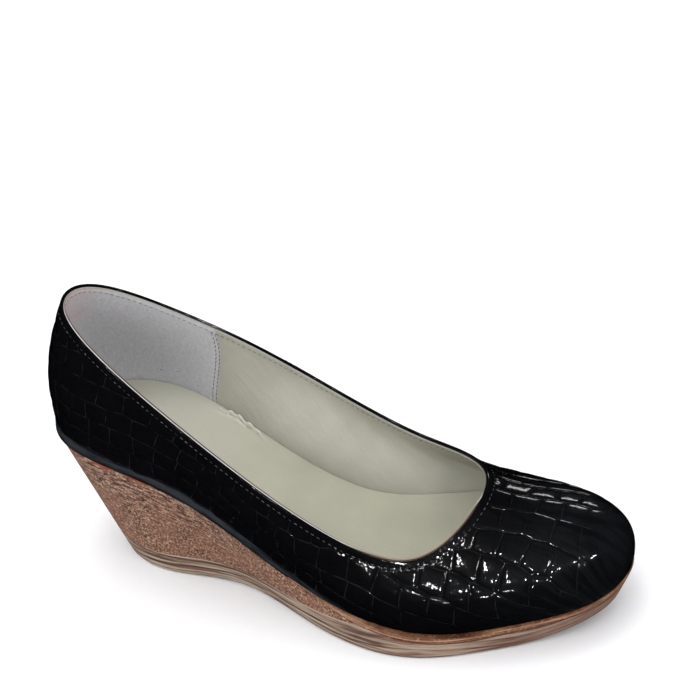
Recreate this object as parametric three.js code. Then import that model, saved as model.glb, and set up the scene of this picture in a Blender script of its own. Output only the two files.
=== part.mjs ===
// A slip-on platform pump on a wedge heel, right shoe, in millimetres.
// x runs from the heel to the toe, y to the medial side and z up from the floor.
import { BufferAttribute, BufferGeometry, Group, Mesh, MeshStandardMaterial, Vector3 } from 'three';

// The feather line is where the upper meets the sole.
const featherLength = 245; // from the back of the heel to the tip of the toe, measured level
const ballWidth = 77; // across the feather line at the ball of the foot
const toeSwing = 11.4; // how far the toe leans to the medial side
const seatHeight = 65.9; // feather line above the floor at the back of the heel
const platformHeight = 9.7; // feather line above the floor at the ball
const toeSpring = 10.8; // tip of the toe above the level of the ball

const backHeight = 54.9; // topline above the feather line at the back of the heel
const collarSetback = 14.8; // topline in front of the heel's back point
const throatReach = 189.4; // front of the topline from the heel's back point
const throatSwing = 4.3; // how far the throat leans to the medial side
const throatDraw = 0.17; // how much the topline's stations crowd towards the throat

const heelUndercut = 20; // tread's back edge in front of the heel's back point
const treadReach = 241; // tread's front edge from the heel's back point
const treadSwing = 9.9; // how far the tread leans to the medial side
const treadSpring = 9; // tread's tip above the floor
const archRise = 0.7; // tread above the floor at the waist
const treadRound = 1.4; // radius of the tread's edge

const wallThickness = 2; // leather and lining together
const tuckRadius = 1.6; // rounding where the upper turns in under itself
const foldHeight = 0.8; // the topline's rounded fold above the wall
const seamStep = 0.7; // the front part lies this much over the back part at the side seam
const seamFade = 16; // length over which the step fades towards the toe
const insoleThickness = 2.2;
const insoleLift = 0.2; // keeps the insole clear of the rand where the footbed bends
const soleLip = 2.7; // widest shelf of the sole outside the upper
const randThickness = 2.6; // at the ball
const bandThickness = 11; // the outsole's board at the heel and the waist
const wedgeTip = 0.6; // the wedge ends where it gets thinner than this
const gap = 0.3; // between pieces that touch on the real shoe

const halfStations = 44; // stations along each side of the shoe
const radian = Math.PI / 180;
const seamAtTopline = 285.5 * radian;
const seamAtFeather = 289 * radian;

// The tables hold a row for each section, from the back of the heel to the tip of the toe, evenly spaced
// round a half turn. The outer columns are the lateral side and the inner columns the medial one.

// Widths are shares of ballWidth, rises of seatHeight above platformHeight, springs of toeSpring and
// lips of soleLip.
const featherRows = [
  { outerWidth: 0.747, innerWidth: 0.747, outerRise: 1, innerRise: 1, spring: 0, outerLip: 0.5, innerLip: 0.5 },
  { outerWidth: 0.671, innerWidth: 0.668, outerRise: 0.95, innerRise: 0.948, spring: 0, outerLip: 0.59, innerLip: 0.48 },
  { outerWidth: 0.538, innerWidth: 0.53, outerRise: 0.887, innerRise: 0.885, spring: 0, outerLip: 0.46, innerLip: 0.49 },
  { outerWidth: 0.428, innerWidth: 0.325, outerRise: 0.655, innerRise: 0.692, spring: 0, outerLip: 0.47, innerLip: 0.59 },
  { outerWidth: 0.492, innerWidth: 0.288, outerRise: 0.242, innerRise: 0.256, spring: 0, outerLip: 0.72, innerLip: 0.86 },
  { outerWidth: 0.612, innerWidth: 0.472, outerRise: 0, innerRise: 0, spring: 0, outerLip: 0.77, innerLip: 1 },
  { outerWidth: 0.601, innerWidth: 0.605, outerRise: 0, innerRise: 0, spring: 0.23, outerLip: 0.46, innerLip: 0.79 },
  { outerWidth: 0.664, innerWidth: 0.697, outerRise: 0, innerRise: 0, spring: 0.7, outerLip: 0.19, innerLip: 0.3 },
  { outerWidth: 0.722, innerWidth: 0.722, outerRise: 0, innerRise: 0, spring: 1, outerLip: 0.19, innerLip: 0.19 },
];

// Widths are shares of ballWidth and heights of backHeight.
const toplineRows = [
  { outerWidth: 0.495, innerWidth: 0.495, outerHeight: 1, innerHeight: 1 },
  { outerWidth: 0.445, innerWidth: 0.451, outerHeight: 0.956, innerHeight: 0.957 },
  { outerWidth: 0.412, innerWidth: 0.415, outerHeight: 0.758, innerHeight: 0.774 },
  { outerWidth: 0.428, innerWidth: 0.421, outerHeight: 0.642, innerHeight: 0.641 },
  { outerWidth: 0.481, innerWidth: 0.469, outerHeight: 0.683, innerHeight: 0.694 },
  { outerWidth: 0.562, innerWidth: 0.553, outerHeight: 0.625, innerHeight: 0.679 },
  { outerWidth: 0.667, innerWidth: 0.661, outerHeight: 0.459, innerHeight: 0.575 },
  { outerWidth: 0.712, innerWidth: 0.714, outerHeight: 0.472, innerHeight: 0.544 },
  { outerWidth: 0.743, innerWidth: 0.743, outerHeight: 0.514, innerHeight: 0.514 },
];

// The wall leaves the feather line leaning outwards by lean and reaches the topline falling outwards by
// fall, both in degrees. pull and reach are the lengths of those two ends, as shares of the chord.
const wallRows = [
  { outerLean: 8, innerLean: 8, outerFall: 64, innerFall: 64, pull: 0.36, reach: 0.35 },
  { outerLean: 7, innerLean: 11, outerFall: 63, innerFall: 78, pull: 0.36, reach: 0.35 },
  { outerLean: 10, innerLean: 10, outerFall: 77, innerFall: 85, pull: 0.35, reach: 0.35 },
  { outerLean: 12, innerLean: 5, outerFall: 82, innerFall: 85, pull: 0.35, reach: 0.35 },
  { outerLean: 15, innerLean: 5, outerFall: 75, innerFall: 78, pull: 0.4, reach: 0.4 },
  { outerLean: 20, innerLean: 14, outerFall: 57, innerFall: 65, pull: 0.44, reach: 0.45 },
  { outerLean: 20, innerLean: 18, outerFall: 38, innerFall: 56, pull: 0.46, reach: 0.46 },
  { outerLean: 14, innerLean: 12, outerFall: 28, innerFall: 38, pull: 0.47, reach: 0.46 },
  { outerLean: 11, innerLean: 11, outerFall: 23, innerFall: 23, pull: 0.49, reach: 0.46 },
];

// Widths are shares of ballWidth, springs of treadSpring, arches of archRise and rands of randThickness.
// Where the arch is below 0 the tread lies flat on the floor.
const treadRows = [
  { outerWidth: 0.66, innerWidth: 0.66, spring: 0, arch: -0.2, rand: 0.45 },
  { outerWidth: 0.594, innerWidth: 0.54, spring: 0, arch: -0.2, rand: 0.45 },
  { outerWidth: 0.48, innerWidth: 0.392, spring: 0, arch: -0.3, rand: 0.45 },
  { outerWidth: 0.358, innerWidth: 0.23, spring: 0, arch: 1, rand: 0.45 },
  { outerWidth: 0.521, innerWidth: 0.403, spring: 0, arch: 0.3, rand: 0.5 },
  { outerWidth: 0.65, innerWidth: 0.591, spring: 0, arch: -0.3, rand: 0.9 },
  { outerWidth: 0.565, innerWidth: 0.597, spring: 0, arch: 0, rand: 1 },
  { outerWidth: 0.57, innerWidth: 0.617, spring: 0.68, arch: 0, rand: 1 },
  { outerWidth: 0.662, innerWidth: 0.662, spring: 1, arch: 0, rand: 1 },
];

// A closed curve through one column on each side: the control values of a uniform cubic spline are
// relaxed until the spline passes through the table's values.
function ring(rows, outer, inner) {
  const back = rows.slice(1, -1).reverse();
  const values = [...rows.map((row) => row[outer]), ...back.map((row) => row[inner])];
  const count = values.length;
  let controls = [...values];
  for (let round = 0; round < 40; round += 1) {
    controls = values.map((value, i) => {
      const before = controls[(i + count - 1) % count];
      const after = controls[(i + 1) % count];
      return (6 * value - before - after) / 4;
    });
  }
  return (turn) => {
    const place = (((turn / (2 * Math.PI)) % 1) + 1) % 1 * count;
    const i = Math.floor(place);
    const u = place - i;
    const weights = [
      (1 - u) ** 3 / 6,
      (3 * u ** 3 - 6 * u ** 2 + 4) / 6,
      (-3 * u ** 3 + 3 * u ** 2 + 3 * u + 1) / 6,
      u ** 3 / 6,
    ];
    return weights.reduce((sum, weight, k) => sum + weight * controls[(i + count - 1 + k) % count], 0);
  };
}

const feather = {
  width: ring(featherRows, 'outerWidth', 'innerWidth'),
  rise: ring(featherRows, 'outerRise', 'innerRise'),
  spring: ring(featherRows, 'spring', 'spring'),
  lip: ring(featherRows, 'outerLip', 'innerLip'),
};
const topline = {
  width: ring(toplineRows, 'outerWidth', 'innerWidth'),
  height: ring(toplineRows, 'outerHeight', 'innerHeight'),
};
const side = {
  lean: ring(wallRows, 'outerLean', 'innerLean'),
  fall: ring(wallRows, 'outerFall', 'innerFall'),
  pull: ring(wallRows, 'pull', 'pull'),
  reach: ring(wallRows, 'reach', 'reach'),
};
const tread = {
  width: ring(treadRows, 'outerWidth', 'innerWidth'),
  spring: ring(treadRows, 'spring', 'spring'),
  arch: ring(treadRows, 'arch', 'arch'),
  rand: ring(treadRows, 'rand', 'rand'),
};

// A turn of 0 is the back of the heel. It runs down the lateral side to the toe at half a turn and back
// up the medial side. Each line follows a bent centre line, with its half width along the sine.
function sideOf(turn) {
  const lateral = turn <= Math.PI;
  return { sign: lateral ? -1 : 1, angle: lateral ? turn : 2 * Math.PI - turn };
}

function outline(turn, angle, start, end, swing, halfWidth) {
  const { sign } = sideOf(turn);
  const share = (1 - Math.cos(angle)) / 2;
  return new Vector3(
    start + (end - start) * share,
    swing * share ** 2 + sign * halfWidth * Math.sin(angle),
    0,
  );
}

function featherPoint(turn) {
  const { angle } = sideOf(turn);
  const point = outline(turn, angle, 0, featherLength, toeSwing, ballWidth * feather.width(turn));
  const rise = (seatHeight - platformHeight) * feather.rise(turn);
  point.z = platformHeight + rise + toeSpring * feather.spring(turn);
  return point;
}

function toplinePoint(turn) {
  const { angle } = sideOf(turn);
  const drawn = angle + throatDraw * Math.sin(angle);
  const halfWidth = ballWidth * topline.width(turn);
  const point = outline(turn, drawn, collarSetback, throatReach, throatSwing, halfWidth);
  point.z = featherPoint(turn).z + backHeight * topline.height(turn);
  return point;
}

function treadPoint(turn) {
  const { angle } = sideOf(turn);
  const halfWidth = ballWidth * tread.width(turn);
  const point = outline(turn, angle, heelUndercut, treadReach, treadSwing, halfWidth);
  point.z = Math.max(0, treadSpring * tread.spring(turn) + archRise * tread.arch(turn));
  return point;
}

// Level and square to a line, pointing away from the foot.
function outward(line, turn) {
  const step = 0.01;
  const full = 2 * Math.PI;
  const along = line((turn + step) % full).sub(line((turn + full - step) % full));
  return new Vector3(along.y, -along.x, 0).normalize();
}

// The footbed climbs to the heel and the toe, so a point beside the feather line takes the height that
// the footbed has there.
function footbedSlope(turn) {
  const { angle } = sideOf(turn);
  const step = 0.02;
  const before = Math.max(0, angle - step);
  const after = Math.min(Math.PI, angle + step);
  const turnOf = (value) => (turn <= Math.PI ? value : 2 * Math.PI - value);
  const along = featherPoint(turnOf(after)).sub(featherPoint(turnOf(before)));
  return along.z / along.x;
}

function footbedPoint(turn, distance) {
  const away = outward(featherPoint, turn);
  const point = featherPoint(turn).addScaledVector(away, distance);
  point.z += footbedSlope(turn) * away.x * distance;
  return point;
}

// The wall's outer face is a cubic curve from the feather line, height 0, to the topline, height 1.
function facePoint(turn, height) {
  const low = featherPoint(turn);
  const high = toplinePoint(turn);
  const chord = low.distanceTo(high);
  const lean = side.lean(turn) * radian;
  const fall = side.fall(turn) * radian;
  const lowPull = outward(featherPoint, turn).multiplyScalar(Math.sin(lean));
  lowPull.z = Math.cos(lean);
  const highPull = outward(toplinePoint, turn).multiplyScalar(Math.cos(fall));
  highPull.z = -Math.sin(fall);
  const second = low.clone().addScaledVector(lowPull, side.pull(turn) * chord);
  const third = high.clone().addScaledVector(highPull, side.reach(turn) * chord);
  const rest = 1 - height;
  return new Vector3()
    .addScaledVector(low, rest ** 3)
    .addScaledVector(second, 3 * rest ** 2 * height)
    .addScaledVector(third, 3 * rest * height ** 2)
    .addScaledVector(high, height ** 3);
}

function faceNormal(turn, height) {
  const step = 0.004;
  const full = 2 * Math.PI;
  const along = facePoint((turn + step) % full, height).sub(facePoint((turn + full - step) % full, height));
  const up = facePoint(turn, Math.min(1, height + step)).sub(facePoint(turn, Math.max(0, height - step)));
  return along.cross(up).normalize();
}

// Near the medial seam the stations slant with it, and two of them lie close together across the step.
const seamMiddle = (seamAtTopline + seamAtFeather) / 2;
const seamHalfGap = 0.5 * radian;
const seamSlantWidth = 0.5;

function stationTurns() {
  const turns = [];
  for (let i = 0; i < 2 * halfStations; i += 1) turns.push((i * Math.PI) / halfStations);
  const nearest = Math.round((seamMiddle * halfStations) / Math.PI);
  turns[nearest] = seamMiddle + seamHalfGap;
  turns[nearest - 1] = seamMiddle - seamHalfGap;
  return turns;
}

function slanted(turn, height) {
  const slant = (seamAtTopline - seamAtFeather) * (height - 0.5);
  return turn + slant * Math.exp(-(((turn - seamMiddle) / seamSlantWidth) ** 2));
}

function seamLift(turn) {
  const ahead = seamMiddle - turn;
  if (ahead < 0 || turn < Math.PI) return 0;
  return seamStep * Math.exp((-ahead * featherLength) / 2 / seamFade);
}

function tuck(height) {
  const tuckHeight = 0.06;
  const inside = Math.max(0, 1 - height / tuckHeight);
  return tuckRadius * (1 - Math.sqrt(1 - inside ** 2));
}

function upperLoops() {
  const turns = stationTurns();
  const outerHeights = [0.004, 0.02, 0.06, 0.15, 0.27, 0.41, 0.55, 0.69, 0.82, 0.92, 1];
  const innerHeights = [1, 0.9, 0.76, 0.6, 0.44, 0.28, 0.12, 0];
  const loops = outerHeights.map((height) => turns.map((turn) => {
    const place = slanted(turn, height);
    const point = facePoint(place, height);
    const outwards = seamLift(turn) - tuck(height);
    return point.addScaledVector(faceNormal(place, height), outwards);
  }));
  const fold = turns.map((turn) => {
    const place = slanted(turn, 1);
    const upwards = facePoint(place, 1).sub(facePoint(place, 0.96)).normalize();
    return facePoint(place, 1)
      .addScaledVector(faceNormal(place, 1), -wallThickness / 2)
      .addScaledVector(upwards, foldHeight);
  });
  loops.push(fold);
  for (const height of innerHeights) {
    loops.push(turns.map((turn) => {
      const place = slanted(turn, height);
      const level = outward(featherPoint, place);
      const square = faceNormal(place, height);
      const blend = Math.min(1, height / 0.12);
      const inwards = level.lerp(square, blend).normalize();
      const point = facePoint(place, height).addScaledVector(inwards, -wallThickness);
      const settled = footbedPoint(place, -wallThickness).z - featherPoint(place).z;
      point.z += (1 - blend) * settled;
      return point;
    }));
  }
  return loops;
}

// Each sole piece is a slab between two levels of the sole's side, a straight face from the rim under the
// upper to the tread's edge. A level is a depth below the rim.
function rimPoint(turn) {
  const point = footbedPoint(turn, soleLip * feather.lip(turn));
  point.z -= gap;
  return point;
}

function soleHeight(turn) {
  return rimPoint(turn).z - treadPoint(turn).z;
}

function solePoint(turn, depth) {
  return rimPoint(turn).lerp(treadPoint(turn), depth / soleHeight(turn));
}

function randDepth(turn) {
  return randThickness * tread.rand(turn);
}

function wedgeRoom(turn) {
  return soleHeight(turn) - randDepth(turn) - bandThickness - 2 * gap;
}

const sideTurns = Array.from({ length: 2 * halfStations }, (_, i) => (i * Math.PI) / halfStations);

// The last station, counted from the heel, where the wedge is thick enough on both sides.
function wedgeEnd() {
  let station = 0;
  for (let i = 1; i < halfStations; i += 1) {
    const room = Math.min(wedgeRoom(sideTurns[i]), wedgeRoom(sideTurns[2 * halfStations - i]));
    if (room < wedgeTip) break;
    station = i;
  }
  return station;
}
const lastWedgeStation = wedgeEnd();

function bandDepth(turn) {
  const station = Math.round((sideOf(turn).angle * halfStations) / Math.PI);
  const underRand = randDepth(turn) + gap;
  return station > lastWedgeStation ? underRand : soleHeight(turn) - bandThickness;
}

function slabLoops(depths, turns, shape = solePoint) {
  return depths.map((depth) => turns.map((turn) => shape(turn, depth(turn))));
}

// A closed solid from loops of equal length. Quads join each loop to the next; a ring also joins the last
// to the first, and a slab is closed by strips across it, from each lateral point to its medial partner.
function solid(loops, closing) {
  const size = loops[0].length;
  const triangles = [];
  const quad = (a, b, c, d) => triangles.push([a, b, c], [a, c, d]);
  const pairs = closing === 'ring' ? loops.length : loops.length - 1;
  for (let k = 0; k < pairs; k += 1) {
    const low = k * size;
    const high = ((k + 1) % loops.length) * size;
    for (let i = 0; i < size; i += 1) {
      const next = (i + 1) % size;
      quad(low + i, low + next, high + next, high + i);
    }
  }
  if (closing === 'slab') {
    const top = (loops.length - 1) * size;
    const half = Math.floor(size / 2);
    for (let i = 0; i < half; i += 1) {
      const partner = (size - i) % size;
      const nextPartner = size - i - 1;
      if (i === 0) {
        triangles.push([top, top + 1, top + nextPartner], [1, 0, nextPartner]);
      } else if (i + 1 === nextPartner) {
        triangles.push([top + i, top + i + 1, top + partner], [i + 1, i, partner]);
      } else {
        quad(top + i, top + i + 1, top + nextPartner, top + partner);
        quad(i + 1, i, partner, nextPartner);
      }
    }
  }
  const positions = triangles.flat().flatMap((corner) => {
    const point = loops[Math.floor(corner / size)][corner % size];
    return [point.x, point.y, point.z];
  });
  const geometry = new BufferGeometry();
  geometry.setAttribute('position', new BufferAttribute(new Float32Array(positions), 3));
  geometry.computeVertexNormals();
  return geometry;
}

function upper() {
  return solid(upperLoops(), 'ring');
}

function insole() {
  const inset = wallThickness + gap;
  const edge = (turn, height) => {
    const point = footbedPoint(turn, -inset);
    point.z += height;
    return point;
  };
  return solid(slabLoops([() => insoleLift, () => insoleLift + insoleThickness], sideTurns, edge), 'slab');
}

function rand() {
  return solid(slabLoops([randDepth, () => 0], sideTurns), 'slab');
}

function wedge() {
  const lateral = sideTurns.slice(0, lastWedgeStation + 1);
  const medial = sideTurns.slice(2 * halfStations - lastWedgeStation);
  const underside = (turn) => soleHeight(turn) - bandThickness - gap;
  const middle = (turn) => (underside(turn) + randDepth(turn) + gap) / 2;
  const topside = (turn) => randDepth(turn) + gap;
  return solid(slabLoops([underside, middle, topside], [...lateral, ...medial]), 'slab');
}

function outsole() {
  const rounding = [90, 50, 0].map((degrees) => degrees * radian);
  const loops = rounding.map((angle) => sideTurns.map((turn) => {
    const height = treadRound * (1 - Math.sin(angle));
    const inset = treadRound * (1 - Math.cos(angle));
    const point = solePoint(turn, soleHeight(turn) - height);
    return point.addScaledVector(outward(treadPoint, turn), -inset);
  }));
  loops.push(sideTurns.map((turn) => solePoint(turn, bandDepth(turn))));
  return solid(loops, 'slab');
}

const finishes = {
  patentLeather: { color: 0x0a0b0e, roughness: 0.12, metalness: 0 },
  sockLining: { color: 0xb2b09b, roughness: 0.8, metalness: 0 },
  stainedBoard: { color: 0xa86b45, roughness: 0.6, metalness: 0 },
  cork: { color: 0x8c6a58, roughness: 0.85, metalness: 0 },
  streakedBoard: { color: 0x8a7263, roughness: 0.7, metalness: 0 },
};

const pieces = [
  { name: 'upper', build: upper, finish: finishes.patentLeather },
  { name: 'insole', build: insole, finish: finishes.sockLining },
  { name: 'rand', build: rand, finish: finishes.stainedBoard },
  { name: 'wedge', build: wedge, finish: finishes.cork },
  { name: 'outsole', build: outsole, finish: finishes.streakedBoard },
];

const shoe = new Group();
for (const piece of pieces) {
  const mesh = new Mesh(piece.build(), new MeshStandardMaterial(piece.finish));
  mesh.name = piece.name;
  shoe.add(mesh);
}

// The origin lies on the floor under the middle of the shoe's box.
let low = new Vector3(Infinity, Infinity, Infinity);
let high = new Vector3(-Infinity, -Infinity, -Infinity);
for (const mesh of shoe.children) {
  mesh.geometry.computeBoundingBox();
  low = low.min(mesh.geometry.boundingBox.min);
  high = high.max(mesh.geometry.boundingBox.max);
}
for (const mesh of shoe.children) {
  mesh.geometry.translate(-(low.x + high.x) / 2, -(low.y + high.y) / 2, -low.z);
}

export default shoe;
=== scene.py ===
import bpy
import numpy as np
from mathutils import Matrix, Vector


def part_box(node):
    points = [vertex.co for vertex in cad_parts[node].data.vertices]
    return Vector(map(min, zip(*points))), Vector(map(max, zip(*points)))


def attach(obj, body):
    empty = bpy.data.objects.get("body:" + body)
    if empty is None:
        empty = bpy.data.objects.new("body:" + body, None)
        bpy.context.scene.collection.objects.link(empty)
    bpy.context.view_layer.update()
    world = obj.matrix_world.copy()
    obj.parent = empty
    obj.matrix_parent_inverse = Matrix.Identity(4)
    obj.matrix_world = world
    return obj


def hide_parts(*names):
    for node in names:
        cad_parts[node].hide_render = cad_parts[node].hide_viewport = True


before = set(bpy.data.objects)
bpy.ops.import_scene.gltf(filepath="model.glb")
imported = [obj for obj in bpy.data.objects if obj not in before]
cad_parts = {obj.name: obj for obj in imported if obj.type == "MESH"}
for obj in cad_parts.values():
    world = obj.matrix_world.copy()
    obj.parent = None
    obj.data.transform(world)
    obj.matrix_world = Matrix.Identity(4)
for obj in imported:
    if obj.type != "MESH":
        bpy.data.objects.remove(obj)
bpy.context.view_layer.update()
fullTurn = 2 * np.pi
print("frame loaded")

# The shoe's lines. Tables run from the back of the heel to the tip of the toe in equal steps of turn, the
# lateral side first and the medial side second. Widths are shares of ballWidth.
last = {
    "featherLength": 245, "ballWidth": 77, "toeSwing": 11.4,
    "seatHeight": 65.9, "platformHeight": 9.7, "toeSpring": 10.8,
    "backHeight": 54.9, "collarSetback": 14.8, "throatReach": 189.4, "throatSwing": 4.3, "throatDraw": 0.17,
    "heelUndercut": 20, "treadReach": 241, "treadSwing": 9.9, "treadSpring": 9, "archRise": 0.7,
    "wall": 2.0, "soleLip": 2.7, "gap": 0.3, "randThickness": 2.6,
    "featherWidth": ((0.747, 0.671, 0.538, 0.428, 0.492, 0.612, 0.601, 0.664, 0.722),
                     (0.747, 0.668, 0.53, 0.325, 0.288, 0.472, 0.605, 0.697, 0.722)),
    "featherRise": ((1, 0.95, 0.887, 0.655, 0.242, 0, 0, 0, 0), (1, 0.948, 0.885, 0.692, 0.256, 0, 0, 0, 0)),
    "featherSpring": ((0, 0, 0, 0, 0, 0, 0.23, 0.7, 1),) * 2,
    "lip": ((0.5, 0.59, 0.46, 0.47, 0.72, 0.77, 0.46, 0.19, 0.19), (0.5, 0.48, 0.49, 0.59, 0.86, 1, 0.79, 0.3, 0.19)),
    "toplineWidth": ((0.495, 0.445, 0.412, 0.428, 0.481, 0.562, 0.667, 0.712, 0.743),
                     (0.495, 0.451, 0.415, 0.421, 0.469, 0.553, 0.661, 0.714, 0.743)),
    "toplineHeight": ((1, 0.956, 0.758, 0.642, 0.683, 0.625, 0.459, 0.472, 0.514),
                      (1, 0.957, 0.774, 0.641, 0.694, 0.679, 0.575, 0.544, 0.514)),
    "lean": ((8, 7, 10, 12, 15, 20, 20, 14, 11), (8, 11, 10, 5, 5, 14, 18, 12, 11)),
    "fall": ((64, 63, 77, 82, 75, 57, 38, 28, 23), (64, 78, 85, 85, 78, 65, 56, 38, 23)),
    "pull": ((0.36, 0.36, 0.35, 0.35, 0.4, 0.44, 0.46, 0.47, 0.49),) * 2,
    "reach": ((0.35, 0.35, 0.35, 0.35, 0.4, 0.45, 0.46, 0.46, 0.46),) * 2,
    "treadWidth": ((0.66, 0.594, 0.48, 0.358, 0.521, 0.65, 0.565, 0.57, 0.662),
                   (0.66, 0.54, 0.392, 0.23, 0.403, 0.591, 0.597, 0.617, 0.662)),
    "treadSpringShare": ((0, 0, 0, 0, 0, 0, 0, 0.68, 1),) * 2,
    "arch": ((-0.2, -0.2, -0.3, 1, 0.3, -0.3, 0, 0, 0),) * 2,
    "rand": ((0.45, 0.45, 0.45, 0.45, 0.5, 0.9, 1, 1, 1),) * 2,
}


# A closed cubic spline through a table: each value is one sixth of the control before, four sixths of its own
# control and one sixth of the next.
def spline(table):
    lateral, medial = last[table]
    values = np.array(lateral + medial[-2:0:-1], float)
    count = len(values)
    ring = np.eye(count)
    controls = np.linalg.solve((4 * ring + np.roll(ring, 1, 0) + np.roll(ring, -1, 0)) / 6, values)

    def along(turn):
        place = (turn / fullTurn) % 1 * count
        first = np.floor(place).astype(int)
        u = place - first
        weights = ((1 - u) ** 3, 3 * u ** 3 - 6 * u ** 2 + 4, -3 * u ** 3 + 3 * u ** 2 + 3 * u + 1, u ** 3)
        return sum(w / 6 * controls[(first + k - 1) % count] for k, w in enumerate(weights))
    return along


lines = {name: spline(name) for name, value in last.items() if isinstance(value, tuple)}


# A vector's unit vector.
def unit(vector):
    return vector / np.linalg.norm(vector, axis=-1, keepdims=True)


# A turn's distance from the back of the heel, the same on both sides: 0 there and half a turn at the toe.
def fromHeel(turn):
    return np.pi - np.abs(turn % fullTurn - np.pi)


# A bent oval: x follows half of one minus the cosine of turn, y the sine times half the width, added to a
# centre line that swings to the medial side with the square of the share of the length.
def oval(turn, start, end, swing, width):
    share = (1 - np.cos(turn)) / 2
    y = swing * share ** 2 - last["ballWidth"] * width * np.sin(turn)
    return np.stack([start + (end - start) * share, y, np.zeros_like(share)], -1)


# The feather line, where the upper meets the sole: an oval that rises to the seat and springs at the toe.
def feather(turn):
    point = oval(turn, 0, last["featherLength"], last["toeSwing"], lines["featherWidth"](turn))
    rise = (last["seatHeight"] - last["platformHeight"]) * lines["featherRise"](turn)
    point[..., 2] = last["platformHeight"] + rise + last["toeSpring"] * lines["featherSpring"](turn)
    return point


# The topline: a shorter oval whose turns crowd to the throat, at a height above the feather line.
def topline(turn):
    drawn = turn + last["throatDraw"] * np.sin(turn)
    point = oval(drawn, last["collarSetback"], last["throatReach"], last["throatSwing"], lines["toplineWidth"](turn))
    point[..., 2] = feather(turn)[..., 2] + last["backHeight"] * lines["toplineHeight"](turn)
    return point


# The tread's edge: an oval on the floor, with a low arch at the waist and a spring at the toe.
def tread(turn):
    point = oval(turn, last["heelUndercut"], last["treadReach"], last["treadSwing"], lines["treadWidth"](turn))
    rise = last["treadSpring"] * lines["treadSpringShare"](turn) + last["archRise"] * lines["arch"](turn)
    point[..., 2] = np.maximum(0, rise)
    return point


# Level and square to a line, away from the foot: the line's direction turned a quarter to the right.
def outward(line, turn):
    along = line(turn + 0.01) - line(turn - 0.01)
    return unit(np.stack([along[..., 1], -along[..., 0], np.zeros_like(along[..., 0])], -1))


# A point beside the feather line, at the height that the footbed's slope along the shoe gives it there.
def footbed(turn, distance):
    angle = fromHeel(turn)
    after, before = feather(np.minimum(np.pi, angle + 0.02)), feather(np.maximum(0, angle - 0.02))
    medial = feather(fullTurn - np.minimum(np.pi, angle + 0.02)), feather(fullTurn - np.maximum(0, angle - 0.02))
    onMedial = (turn % fullTurn > np.pi)[..., None]
    step = np.where(onMedial, medial[0] - medial[1], after - before)
    away = outward(feather, turn)
    point = feather(turn) + away * np.asarray(distance)[..., None]
    point[..., 2] += step[..., 2] / step[..., 0] * away[..., 0] * distance
    return point


# The outer face of the wall: a cubic curve from the feather line to the topline. It leaves the feather line
# leaning outwards and reaches the topline falling outwards, each by its table's angle.
def face(turn, height):
    turn, height = np.broadcast_arrays(turn, height)
    low, high = feather(turn), topline(turn)
    chord = np.linalg.norm(high - low, axis=-1)
    lean, fall = np.radians(lines["lean"](turn)), np.radians(lines["fall"](turn))
    lowPull = outward(feather, turn) * np.sin(lean)[..., None]
    lowPull[..., 2] = np.cos(lean)
    highPull = outward(topline, turn) * np.cos(fall)[..., None]
    highPull[..., 2] = -np.sin(fall)
    second = low + lowPull * (lines["pull"](turn) * chord)[..., None]
    third = high + highPull * (lines["reach"](turn) * chord)[..., None]
    h = height[..., None]
    return (1 - h) ** 3 * low + 3 * (1 - h) ** 2 * h * second + 3 * (1 - h) * h ** 2 * third + h ** 3 * high


# Square to the face, outwards: the cross product of its steps along the turn and up the height.
def faceNormal(turn, height):
    turn, height = np.broadcast_arrays(turn, height)
    along = face(turn + 0.004, height) - face(turn - 0.004, height)
    up = face(turn, np.minimum(1, height + 0.004)) - face(turn, np.maximum(0, height - 0.004))
    return unit(np.cross(along, up))


# The side of the sole: straight from a rim under the upper to the tread's edge, by depth below the rim.
def rim(turn):
    point = footbed(turn, last["soleLip"] * lines["lip"](turn))
    point[..., 2] -= last["gap"]
    return point


def soleHeight(turn):
    return rim(turn)[..., 2] - tread(turn)[..., 2]


def soleSide(turn, depth):
    share = (depth / soleHeight(turn))[..., None]
    return rim(turn) * (1 - share) + tread(turn) * share


def randDepth(turn):
    return last["randThickness"] * lines["rand"](turn)


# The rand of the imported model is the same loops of 88 turns, so its box gives the shift to the shared frame.
cadTurns = np.arange(88) * fullTurn / 88
cadLoops = np.concatenate([rim(cadTurns), soleSide(cadTurns, randDepth(cadTurns))])
randLow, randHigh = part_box("rand")
shift = (np.array(randLow) + np.array(randHigh)) * 500 - (cadLoops.min(0) + cadLoops.max(0)) / 2
print("shift in mm", np.round(shift, 3))


# Cumulative length along the last axis but one, from 0.
def lengthAlong(points):
    steps = np.linalg.norm(np.diff(points, axis=-2), axis=-1)
    return np.concatenate([np.zeros(steps.shape[:-1] + (1,)), np.cumsum(steps, -1)], -1)


# Turns at equal steps of length along a line.
def evenTurns(line, start, end, count):
    fine = np.linspace(start, end, 4000)
    travelled = lengthAlong(line(fine))
    return np.interp(np.linspace(0, travelled[-1], count), travelled, fine)


# From 0 to 1 with level ends, between low and high.
def ease(value, low, high):
    share = np.clip((value - low) / (high - low), 0, 1)
    return share * share * (3 - 2 * share)


# Quads of a grid of rows and columns; a closed grid joins its last column to its first. Also gives each
# quad's row and column for its UV corners.
def gridFaces(rows, columns, closed=False, start=0):
    r, c = np.meshgrid(np.arange(rows - 1), np.arange(columns if closed else columns - 1), indexing="ij")
    r, c = r.ravel(), c.ravel()
    corners = ((r, c), (r, c + 1), (r + 1, c + 1), (r + 1, c))
    return (start + np.stack([row * columns + column % columns for row, column in corners], -1),
            np.stack([np.stack([row, column], -1) for row, column in corners], 1))


# An object of the scene
def addObject(name, data):
    item = bpy.data.objects.new(name, data)
    bpy.context.scene.collection.objects.link(item)
    return item


# A matrix from the right, up and back axes and a place.
def turnedTo(*axes):
    matrix = np.eye(4)
    for column, axis in enumerate(axes):
        matrix[:3, column] = axis
    return Matrix(matrix.tolist())


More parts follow.
